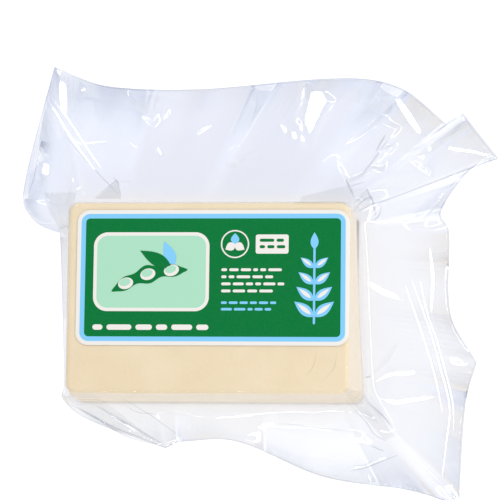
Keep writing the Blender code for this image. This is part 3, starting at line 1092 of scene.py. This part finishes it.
# The inks, numbered in this order.
INKS = {
    "white": (0.78, 0.76, 0.72),
    "blue": (0.21, 0.56, 0.86),
    "green": (0.0006, 0.165, 0.036),
    "pale": (0.38, 0.68, 0.50),
}
WHITE, BLUE, GREEN, PALE = range(len(INKS))
PRINT_SEED = 11


def print_piece(name, mesh, inks, replaced=()):
    """A piece made of flat shapes of ink."""
    data = bpy.data.meshes.new(name)
    mesh.normal_update()
    mesh.to_mesh(data)
    mesh.free()
    data.shade_smooth()
    piece = add_piece(data, None, "print", replaced)
    for ink in inks:
        data.materials.append(ink)
    return piece


def make_panel(inks):
    """The green field with its blue border and its white keyline."""
    mesh = bmesh.new()
    insets = [0.0, 0.3, 0.6, 0.9, KEYLINE, 1.7, 2.0, 2.4, KEYLINE + BORDER]
    for row in range(len(insets) - 1):
        ink = WHITE if insets[row] < KEYLINE else BLUE
        add_strip(mesh, panel_loop(insets[row]), panel_loop(insets[row + 1]), 0, ink)
    add_loop(mesh, *panel_loop(insets[-1]), 0, GREEN)
    bmesh.ops.remove_doubles(mesh, verts=mesh.verts, dist=0.001 * MM)
    return print_piece("print_panel", mesh, inks, ("label",))


# The badge: a pale rounded field with a bean pod on it.
BADGE_X, BADGE_Y = -20.0, 9.0
BADGE_HALF_X, BADGE_HALF_Y = 20.5, 14.0
BADGE_CORNER = 5.0
BADGE_LINE = 1.2


def badge_loop(inset):
    """The badge's outline, drawn in by inset."""
    left, bottom = BADGE_X - BADGE_HALF_X, BADGE_Y - BADGE_HALF_Y
    right, top = BADGE_X + BADGE_HALF_X, BADGE_Y + BADGE_HALF_Y
    return box_loop(left, bottom, right, top, BADGE_CORNER - inset, inset)


def add_badge(mesh):
    """A white line round a pale field."""
    add_strip(mesh, badge_loop(0.0), badge_loop(BADGE_LINE), 1, WHITE)
    add_loop(mesh, *badge_loop(BADGE_LINE), 1, PALE)


def add_pod(mesh):
    """A bean pod with three beans and two leaves."""
    share = np.linspace(0.0, 1.0, 61)
    x, y, length, turn = BADGE_X - 14.0, BADGE_Y - 7.0, 28.0, 16.0
    half = 3.1 * np.sin(np.pi * share) ** 0.55 * (0.86 + 0.2 * np.cos(6.0 * np.pi * share + np.pi))
    bend = 2.3 * np.sin(np.pi * share)
    upper = turned(x, y, share * length, bend + half, turn)
    lower = turned(x, y, share * length, bend - half, turn)
    add_strip(mesh, upper, lower, 3, GREEN, closed=False)
    for at in (0.2, 0.5, 0.8):
        bean = turned(x, y, at * length, 2.3 * math.sin(math.pi * at), turn)
        add_loop(mesh, *ellipse(*bean, 2.7, 2.0, turn), 4, WHITE)
        add_loop(mesh, *ellipse(bean[0] - 0.3, bean[1] + 0.4, 2.0, 1.3, turn), 5, PALE)
    add_loop(mesh, *leaf(BADGE_X + 8.0, BADGE_Y + 2.0, 9.5, 4.2, 112.0), 3, BLUE)
    add_loop(mesh, *leaf(BADGE_X + 7.0, BADGE_Y + 1.6, 12.5, 4.6, 152.0), 4, GREEN)


def add_sprig(mesh, x, low, high, pairs):
    """An upright sprig with pairs of leaves, each with a pale rib."""
    add_loop(mesh, *box_loop(x - 0.4, low, x + 0.4, high, 0.4), 1, BLUE)
    for step in range(pairs):
        y = low + (high - low) * (0.1 + 0.85 * step / pairs)
        length = 8.6 - 0.9 * step
        for side, turn in ((1, 38.0), (-1, 142.0)):
            add_loop(mesh, *leaf(x + 0.2 * side, y, length, 0.44 * length, turn), 2, BLUE)
            add_loop(mesh, *leaf(x + 1.1 * side, y + 0.8, 0.72 * length, 0.18 * length, turn), 3, WHITE)
    add_loop(mesh, *leaf(x, high - 0.5, 6.0, 2.8, 90.0), 2, BLUE)


def add_roundel(mesh, x, y, radius):
    """A ring with three petals."""
    add_strip(mesh, ellipse(x, y, radius, radius), ellipse(x, y, radius - 0.5, radius - 0.5), 1, WHITE)
    for step in range(3):
        turn = 90.0 + 120.0 * step
        add_loop(mesh, *leaf(x, y, radius - 1.1, 3.0, turn), 1 + step, WHITE if step else BLUE)


def add_dashes(mesh, rng, left, right, y, height, ink=WHITE, layer=1):
    """A row of short rounded dashes of uneven length."""
    x = left
    while x < right - 2.0 * height:
        end = min(right, x + height * rng.uniform(1.6, 5.0))
        add_loop(mesh, *box_loop(x, y, end, y + height, height / 2), layer, ink)
        x = end + 0.75 * height


def make_motifs(inks):
    """A badge with a bean pod, rows of dashes with a roundel above them, and a sprig."""
    rng = np.random.default_rng(PRINT_SEED)
    mesh = bmesh.new()
    add_badge(mesh)
    add_pod(mesh)
    add_sprig(mesh, 37.5, -9.5, 17.5, 4)
    add_roundel(mesh, 9.5, 18.8, 5.0)
    for row, right in enumerate((27.5, 25.0, 27.0, 23.0)):
        add_dashes(mesh, rng, 4.8, right, 9.2 - 2.5 * row, 1.0)
    for row, right in enumerate((26.0, 24.0)):
        add_dashes(mesh, rng, 4.8, right, -2.4 - 2.3 * row, 0.9, BLUE)
    add_dashes(mesh, rng, -40.5, 0.5, -11.6, 1.9)
    add_loop(mesh, *box_loop(16.8, 15.4, 28.4, 22.2, 0.8), 1, WHITE)
    for row in range(2):
        add_dashes(mesh, rng, 18.2, 27.2, 19.6 - 2.3 * row, 1.1, GREEN, 2)
    return print_piece("print_motifs", mesh, inks)


# ---------------------------------------------------------------- materials


def new_material(name):
    """An empty material, its nodes and its links."""
    made = bpy.data.materials.new(name)
    made.use_nodes = True
    made.node_tree.nodes.clear()
    return made, made.node_tree.nodes, made.node_tree.links


def add_output(nodes, links, shader, kind="ShaderNodeOutputMaterial"):
    """Makes a shader the surface of its material or world."""
    links.new(shader.outputs[0], nodes.new(kind).inputs["Surface"])


def add_mix_shader(nodes, links, factor, first, second):
    """Mixes two shaders by a socket."""
    mix = nodes.new("ShaderNodeMixShader")
    links.new(factor, mix.inputs["Fac"])
    links.new(first.outputs[0], mix.inputs[1])
    links.new(second.outputs[0], mix.inputs[2])
    return mix


def add_noise(nodes, links, size, detail=2.0):
    """Noise whose lumps are about this many millimetres wide, in the row frame."""
    coords = nodes.new("ShaderNodeTexCoord")
    noise = nodes.new("ShaderNodeTexNoise")
    noise.inputs["Scale"].default_value = 1.0 / (size * MM)
    noise.inputs["Detail"].default_value = detail
    links.new(coords.outputs["Object"], noise.inputs["Vector"])
    return noise.outputs["Fac"]


def add_bump(nodes, links, height, depth):
    """A bump whose full height is this many millimetres."""
    bump = nodes.new("ShaderNodeBump")
    bump.inputs["Distance"].default_value = depth * MM
    links.new(height, bump.inputs["Height"])
    return bump.outputs["Normal"]


def add_range(nodes, links, value, low, high, from_low=0.3, from_high=0.7):
    """Maps a value to a range."""
    mapped = nodes.new("ShaderNodeMapRange")
    mapped.inputs["From Min"].default_value = from_low
    mapped.inputs["From Max"].default_value = from_high
    mapped.inputs["To Min"].default_value = low
    mapped.inputs["To Max"].default_value = high
    links.new(value, mapped.inputs["Value"])
    return mapped.outputs["Result"]


def add_mix(nodes, links, factor, first, second, blend="MIX"):
    """Mixes two colours, each a colour or a socket."""
    mix = nodes.new("ShaderNodeMix")
    mix.data_type = "RGBA"
    mix.blend_type = blend
    for name, colour in (("A", first), ("B", second)):
        if isinstance(colour, tuple):
            mix.inputs[name].default_value = (*colour, 1.0)
        else:
            links.new(colour, mix.inputs[name])
    links.new(factor, mix.inputs["Factor"])
    return mix.outputs["Result"]


def add_math(nodes, links, operation, *values):
    """The result of an operation on numbers or sockets."""
    node = nodes.new("ShaderNodeMath")
    node.operation = operation
    for socket, value in zip(node.inputs, values):
        if isinstance(value, float):
            socket.default_value = value
        else:
            links.new(value, socket)
    return node.outputs[0]


def add_attribute(nodes, name, output):
    """What is painted on a mesh under this name, or 0 where nothing is."""
    node = nodes.new("ShaderNodeAttribute")
    node.attribute_name = name
    return node.outputs[output]


STEEP_TINT = (0.60, 0.63, 0.70)  # film seen edge on
STEEP_POWER = 2.0  # how late film darkens as it turns edge on
MILKY = (0.72, 0.73, 0.78, 1.0)  # damp film beside the block
TIGHT_GLOSS = 0.022  # gloss of film that is tight on the block
TIGHT_MIRROR = 0.2  # how much tight film mirrors edge on
LOOSE_MIRROR = 0.92  # how much loose film does
MIRROR_POWER = 5.0  # how late film starts to mirror as it turns edge on


def film_material(name, tint, gloss_least=0.08):
    """Clear glossy film. Tint is a colour, or the name of the mesh's own."""
    made, nodes, links = new_material(name)
    facing = nodes.new("ShaderNodeLayerWeight")
    facing.inputs["Blend"].default_value = 0.5
    facing = facing.outputs["Facing"]
    tight = add_attribute(nodes, "tight", "Fac")
    loose = add_math(nodes, links, "SUBTRACT", 1.0, tight)
    steep = add_math(nodes, links, "POWER", facing, STEEP_POWER)
    steep = add_math(nodes, links, "MULTIPLY", steep, loose)
    if isinstance(tint, str):
        tint = add_attribute(nodes, tint, "Color")
    clear = nodes.new("ShaderNodeBsdfTransparent")
    links.new(add_mix(nodes, links, steep, tint, STEEP_TINT), clear.inputs["Color"])
    milky = nodes.new("ShaderNodeBsdfDiffuse")
    milky.inputs["Color"].default_value = MILKY
    through = add_mix_shader(nodes, links, add_attribute(nodes, "haze", "Fac"), clear, milky)
    gloss = nodes.new("ShaderNodeBsdfGlossy")
    gloss.inputs["Color"].default_value = (1.0, 1.0, 1.0, 1.0)
    links.new(add_range(nodes, links, add_noise(nodes, links, 9.0), 0.03, 0.06), gloss.inputs["Roughness"])
    links.new(add_bump(nodes, links, add_noise(nodes, links, 3.5), 0.005), gloss.inputs["Normal"])
    mirror = add_math(nodes, links, "POWER", facing, MIRROR_POWER)
    kept = add_range(nodes, links, loose, TIGHT_MIRROR, LOOSE_MIRROR, 0.0, 1.0)
    mirror = add_math(nodes, links, "MULTIPLY", mirror, kept)
    least = add_range(nodes, links, loose, TIGHT_GLOSS, gloss_least, 0.0, 1.0)
    share = add_math(nodes, links, "ADD", mirror, least)
    add_output(nodes, links, add_mix_shader(nodes, links, share, through, gloss))
    return made


TOFU_PALE = (0.80, 0.68, 0.47)
TOFU_DEEP = (0.76, 0.63, 0.42)


def tofu_material():
    """Cream bean curd: faint mottling, a fine grain, and small pores."""
    made, nodes, links = new_material("bean_curd")
    mottling = add_range(nodes, links, add_noise(nodes, links, 14.0, 4.0), 0.0, 1.0)
    grain = add_noise(nodes, links, 1.1, 3.0)
    colour = add_mix(nodes, links, mottling, TOFU_DEEP, TOFU_PALE)
    colour = add_mix(nodes, links, add_range(nodes, links, grain, 0.12, 0.0), colour, TOFU_DEEP)
    shader = nodes.new("ShaderNodeBsdfPrincipled")
    shader.inputs["Specular IOR Level"].default_value = 0.25
    shader.inputs["Subsurface Weight"].default_value = 0.1
    shader.inputs["Subsurface Radius"].default_value = (1.0, 0.7, 0.4)
    shader.inputs["Subsurface Scale"].default_value = 2.0 * MM
    links.new(colour, shader.inputs["Base Color"])
    links.new(add_range(nodes, links, grain, 0.5, 0.65), shader.inputs["Roughness"])
    links.new(add_bump(nodes, links, grain, 0.12), shader.inputs["Normal"])
    add_output(nodes, links, shader)
    return made


def ink_material(name, colour):
    """Ink on film: a slightly uneven colour and gloss."""
    made, nodes, links = new_material(name)
    uneven = add_range(nodes, links, add_noise(nodes, links, 0.6, 1.0), 0.0, 0.01)
    shader = nodes.new("ShaderNodeBsdfPrincipled")
    shader.inputs["Specular IOR Level"].default_value = 0.06
    links.new(add_mix(nodes, links, uneven, colour, (0.6, 0.62, 0.6)), shader.inputs["Base Color"])
    gloss = add_noise(nodes, links, 6.0)
    links.new(add_range(nodes, links, gloss, 0.28, 0.42), shader.inputs["Roughness"])
    links.new(add_bump(nodes, links, gloss, 0.02), shader.inputs["Normal"])
    add_output(nodes, links, shader)
    return made


# ---------------------------------------------------------------- floor, light and camera

BRIGHT_SIDE = (0.8, -0.6, 0.0)
BRIGHT_FROM = -0.28
BRIGHT_TO = 0.08
BRIGHT_SKY = (0.90, 0.92, 1.02)
DIM_SKY = (0.56, 0.64, 0.90)
LOW_SKY = (0.80, 0.83, 0.92)
LOW_FROM = 0.75  # how high above the horizon the low sky ends
FILL_SKY = (0.81, 0.80, 0.81)
FLOOR_SIDE = 3000.0
FLOOR_COLOUR = 0.1
FLOOR_GLOW = 1.02  # the floor is a light table


def make_floor():
    """The light table that the pack lies on."""
    mesh = bpy.data.meshes.new("floor")
    side = FLOOR_SIDE * MM
    corners = [(-side, -side, 0), (side, -side, 0), (side, side, 0), (-side, side, 0)]
    mesh.from_pydata(corners, [], [(0, 1, 2, 3)])
    floor = place_object("floor", mesh)
    made, nodes, links = new_material("light_table")
    shader = nodes.new("ShaderNodeBsdfPrincipled")
    shader.inputs["Base Color"].default_value = (FLOOR_COLOUR, FLOOR_COLOUR, FLOOR_COLOUR, 1.0)
    shader.inputs["Roughness"].default_value = 0.9
    shader.inputs["Specular IOR Level"].default_value = 0.0
    shader.inputs["Emission Color"].default_value = (1.0, 1.0, 1.0, 1.0)
    shader.inputs["Emission Strength"].default_value = FLOOR_GLOW
    add_output(nodes, links, shader)
    mesh.materials.append(made)


def add_strip_light(name, azimuth, elevation, width, height, radiance):
    """A long narrow lamp that shines at the origin, and is seen only in reflections."""
    light = bpy.data.lights.new(name, "AREA")
    light.shape = "RECTANGLE"
    light.size = width * MM
    light.size_y = height * MM
    light.energy = radiance * math.pi * light.size * light.size_y
    strip = place_object(name, light)
    towards = direction(azimuth, elevation)
    strip.location = towards * STRIP_DISTANCE * MM
    strip.rotation_mode = "QUATERNION"
    strip.rotation_quaternion = Vector(-towards).to_track_quat("-Z", "Y")
    strip.visible_camera = False


def make_world():
    """A studio that reflects bright from +X -Y and dim lavender from the zenith and the far side."""
    world = bpy.data.worlds.new("studio")
    bpy.context.scene.world = world
    world.use_nodes = True
    nodes, links = world.node_tree.nodes, world.node_tree.links
    nodes.clear()
    coords = nodes.new("ShaderNodeTexCoord")
    towards = nodes.new("ShaderNodeVectorMath")
    towards.operation = "DOT_PRODUCT"
    towards.inputs[1].default_value = BRIGHT_SIDE
    links.new(coords.outputs["Generated"], towards.inputs[0])
    share = nodes.new("ShaderNodeMapRange")
    share.interpolation_type = "SMOOTHSTEP"
    share.inputs["From Min"].default_value = BRIGHT_FROM
    share.inputs["From Max"].default_value = BRIGHT_TO
    links.new(towards.outputs["Value"], share.inputs["Value"])
    seen = add_mix(nodes, links, share.outputs["Result"], DIM_SKY, BRIGHT_SKY)
    height = nodes.new("ShaderNodeSeparateXYZ")
    links.new(coords.outputs["Generated"], height.inputs[0])
    low = add_range(nodes, links, height.outputs["Z"], 1.0, 0.0, 0.0, LOW_FROM)
    seen = add_mix(nodes, links, low, seen, LOW_SKY)
    path = nodes.new("ShaderNodeLightPath")
    used = add_mix(nodes, links, path.outputs["Is Glossy Ray"], FILL_SKY, seen)
    sky = nodes.new("ShaderNodeBackground")
    links.new(used, sky.inputs["Color"])
    add_output(nodes, links, sky, "ShaderNodeOutputWorld")


def make_camera():
    """The camera at the photo's angle, with its upright side in line with +Y."""
    towards = camera_direction()
    right = np.array([1.0, 0.0, 0.0])
    right -= towards * (right @ towards)
    right /= np.linalg.norm(right)
    up = np.cross(towards, right)
    place = (np.array(TARGET) + towards * DISTANCE) * MM
    lens = bpy.data.cameras.new("camera")
    lens.lens = LENS
    lens.sensor_width = 36.0
    lens.clip_start = 0.05
    lens.clip_end = 20.0
    camera = place_object("camera", lens)
    rows = [[right[i], up[i], towards[i], place[i]] for i in range(3)]
    camera.matrix_world = Matrix([*rows, [0.0, 0.0, 0.0, 1.0]])
    bpy.context.scene.camera = camera


def main():
    bpy.context.scene.view_settings.view_transform = "Standard"
    bpy.context.scene.cycles.transparent_max_bounces = 32
    make_floor()
    make_world()
    for name, strip in STRIPS.items():
        add_strip_light("strip_" + name, *strip)
    make_camera()
    film_front = make_film(film_material("film_front", "tint"), film_material("film_back", CLEAR_TINT))
    # The pleats' darker tint is partly layered film and partly painted crease shade.
    make_pleats(film_front, film_material("film_pleats", (0.78, 0.79, 0.82)))
    make_glints(film_front, film_material("film_glints", CLEAR_TINT, 0.12))
    make_tofu(tofu_material())
    inks = [ink_material("ink_" + name, colour) for name, colour in INKS.items()]
    make_panel(inks)
    make_motifs(inks)


main()
